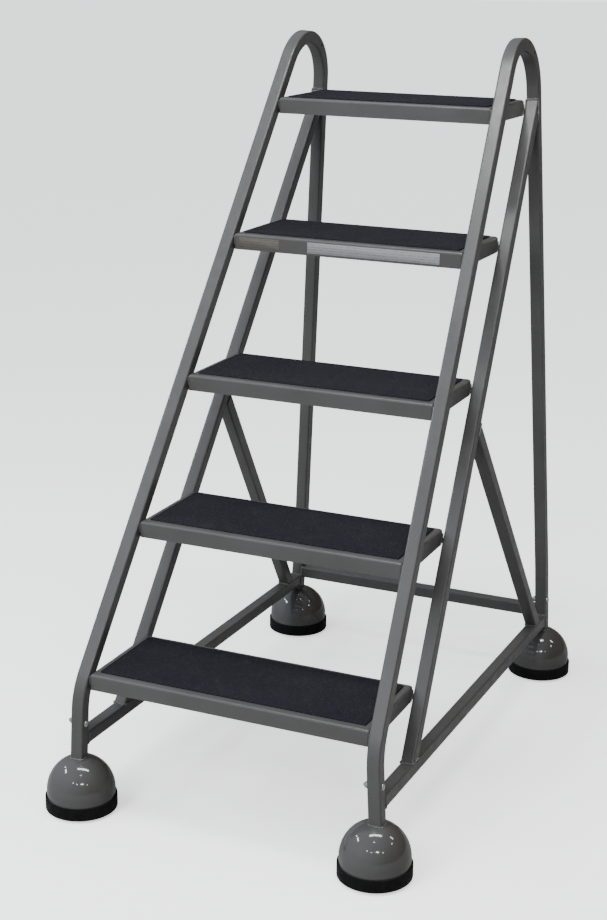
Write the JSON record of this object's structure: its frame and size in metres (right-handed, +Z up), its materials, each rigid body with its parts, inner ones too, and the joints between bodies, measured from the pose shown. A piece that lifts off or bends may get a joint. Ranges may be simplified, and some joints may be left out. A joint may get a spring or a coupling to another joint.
{
  "type": "rolling warehouse ladder",
  "caption": "Free-standing rolling step ladder: welded square-tube side frames that lean together, matted sheet-metal treads, and spring-loaded casters hidden in domed feet with rubber rings.",
  "frame": {"origin": "on the floor, midway between the four feet", "axes": "+Z up; the climber comes from -Y and faces +Y; +X to the climber's right"},
  "size_m": [0.7416, 1.1412, 1.4018],
  "materials": {
    "frame_enamel": "semi-gloss grey enamel over steel, slightly uneven at the welds",
    "dome_enamel": "glossy grey enamel on pressed steel domes",
    "ring_rubber": "matt black moulded rubber",
    "tread_mat": "fine pebbled blue-black ribbed rubber mat",
    "zinc_steel": "bright zinc plating",
    "spring_steel": "oiled spring steel",
    "wheel_plastic": "dark moulded caster wheel",
    "bush_plastic": "natural nylon"
  },
  "bodies": {
    "frame": {"side_frame_left": "frame_enamel", "tread_rail_left": "frame_enamel", "base_tube_left": "frame_enamel", "brace_left": "frame_enamel", "side_frame_right": "frame_enamel", "tread_rail_right": "frame_enamel", "base_tube_right": "frame_enamel", "brace_right": "frame_enamel", "rear_cross_tube": "frame_enamel", "tread_pan_1": "frame_enamel", "tread_pan_2": "frame_enamel", "tread_pan_3": "frame_enamel", "tread_pan_4": "frame_enamel", "tread_pan_5": "frame_enamel", "tread_mat_1": "tread_mat", "tread_mat_2": "tread_mat", "tread_mat_3": "tread_mat", "tread_mat_4": "tread_mat", "tread_mat_5": "tread_mat", "dome_front_left": "dome_enamel", "bumper_ring_front_left": "ring_rubber", "guide_bush_front_left": "bush_plastic", "caster_spring_front_left": "spring_steel", "retaining_bolt_front_left": "zinc_steel", "retaining_nut_front_left": "zinc_steel", "dome_rear_left": "dome_enamel", "bumper_ring_rear_left": "ring_rubber", "guide_bush_rear_left": "bush_plastic", "caster_spring_rear_left": "spring_steel", "retaining_bolt_rear_left": "zinc_steel", "retaining_nut_rear_left": "zinc_steel", "dome_front_right": "dome_enamel", "bumper_ring_front_right": "ring_rubber", "guide_bush_front_right": "bush_plastic", "caster_spring_front_right": "spring_steel", "retaining_bolt_front_right": "zinc_steel", "retaining_nut_front_right": "zinc_steel", "dome_rear_right": "dome_enamel", "bumper_ring_rear_right": "ring_rubber", "guide_bush_rear_right": "bush_plastic", "caster_spring_rear_right": "spring_steel", "retaining_bolt_rear_right": "zinc_steel", "retaining_nut_rear_right": "zinc_steel"},
    "stem_front_left": {"caster_stem_front_left": "zinc_steel"},
    "fork_front_left": {"caster_fork_front_left": "zinc_steel", "caster_axle_front_left": "zinc_steel"},
    "wheel_front_left": {"caster_wheel_front_left": "wheel_plastic"},
    "stem_rear_left": {"caster_stem_rear_left": "zinc_steel"},
    "fork_rear_left": {"caster_fork_rear_left": "zinc_steel", "caster_axle_rear_left": "zinc_steel"},
    "wheel_rear_left": {"caster_wheel_rear_left": "wheel_plastic"},
    "stem_front_right": {"caster_stem_front_right": "zinc_steel"},
    "fork_front_right": {"caster_fork_front_right": "zinc_steel", "caster_axle_front_right": "zinc_steel"},
    "wheel_front_right": {"caster_wheel_front_right": "wheel_plastic"},
    "stem_rear_right": {"caster_stem_rear_right": "zinc_steel"},
    "fork_rear_right": {"caster_fork_rear_right": "zinc_steel", "caster_axle_rear_right": "zinc_steel"},
    "wheel_rear_right": {"caster_wheel_rear_right": "wheel_plastic"}
  },
  "joints": [
    {"name": "caster_slide_front_left", "type": "slide", "parent": "frame", "child": "stem_front_left", "axis": [0, 0, 1], "range_m": [0, 0.005], "stiffness_N_per_m": 4000, "springref_m": -0.03, "deforming": ["caster_spring_front_left"]},
    {"name": "caster_swivel_front_left", "type": "hinge", "parent": "stem_front_left", "child": "fork_front_left", "pos_m": [-0.3022, -0.50205, 0.0577], "axis": [0, 0, 1], "continuous": true},
    {"name": "wheel_spin_front_left", "type": "hinge", "parent": "fork_front_left", "child": "wheel_front_left", "pos_m": [-0.3022, -0.52205, 0.0254], "axis": [1, 0, 0], "continuous": true},
    {"name": "caster_slide_rear_left", "type": "slide", "parent": "frame", "child": "stem_rear_left", "axis": [0, 0, 1], "range_m": [0, 0.005], "stiffness_N_per_m": 4000, "springref_m": -0.03, "deforming": ["caster_spring_rear_left"]},
    {"name": "caster_swivel_rear_left", "type": "hinge", "parent": "stem_rear_left", "child": "fork_rear_left", "pos_m": [-0.3022, 0.50205, 0.0577], "axis": [0, 0, 1], "continuous": true},
    {"name": "wheel_spin_rear_left", "type": "hinge", "parent": "fork_rear_left", "child": "wheel_rear_left", "pos_m": [-0.3022, 0.52205, 0.0254], "axis": [1, 0, 0], "continuous": true},
    {"name": "caster_slide_front_right", "type": "slide", "parent": "frame", "child": "stem_front_right", "axis": [0, 0, 1], "range_m": [0, 0.005], "stiffness_N_per_m": 4000, "springref_m": -0.03, "deforming": ["caster_spring_front_right"]},
    {"name": "caster_swivel_front_right", "type": "hinge", "parent": "stem_front_right", "child": "fork_front_right", "pos_m": [0.3022, -0.50205, 0.0577], "axis": [0, 0, 1], "continuous": true},
    {"name": "wheel_spin_front_right", "type": "hinge", "parent": "fork_front_right", "child": "wheel_front_right", "pos_m": [0.3022, -0.52205, 0.0254], "axis": [1, 0, 0], "continuous": true},
    {"name": "caster_slide_rear_right", "type": "slide", "parent": "frame", "child": "stem_rear_right", "axis": [0, 0, 1], "range_m": [0, 0.005], "stiffness_N_per_m": 4000, "springref_m": -0.03, "deforming": ["caster_spring_rear_right"]},
    {"name": "caster_swivel_rear_right", "type": "hinge", "parent": "stem_rear_right", "child": "fork_rear_right", "pos_m": [0.3022, 0.50205, 0.0577], "axis": [0, 0, 1], "continuous": true},
    {"name": "wheel_spin_rear_right", "type": "hinge", "parent": "fork_rear_right", "child": "wheel_rear_right", "pos_m": [0.3022, 0.52205, 0.0254], "axis": [1, 0, 0], "continuous": true}
  ]
}
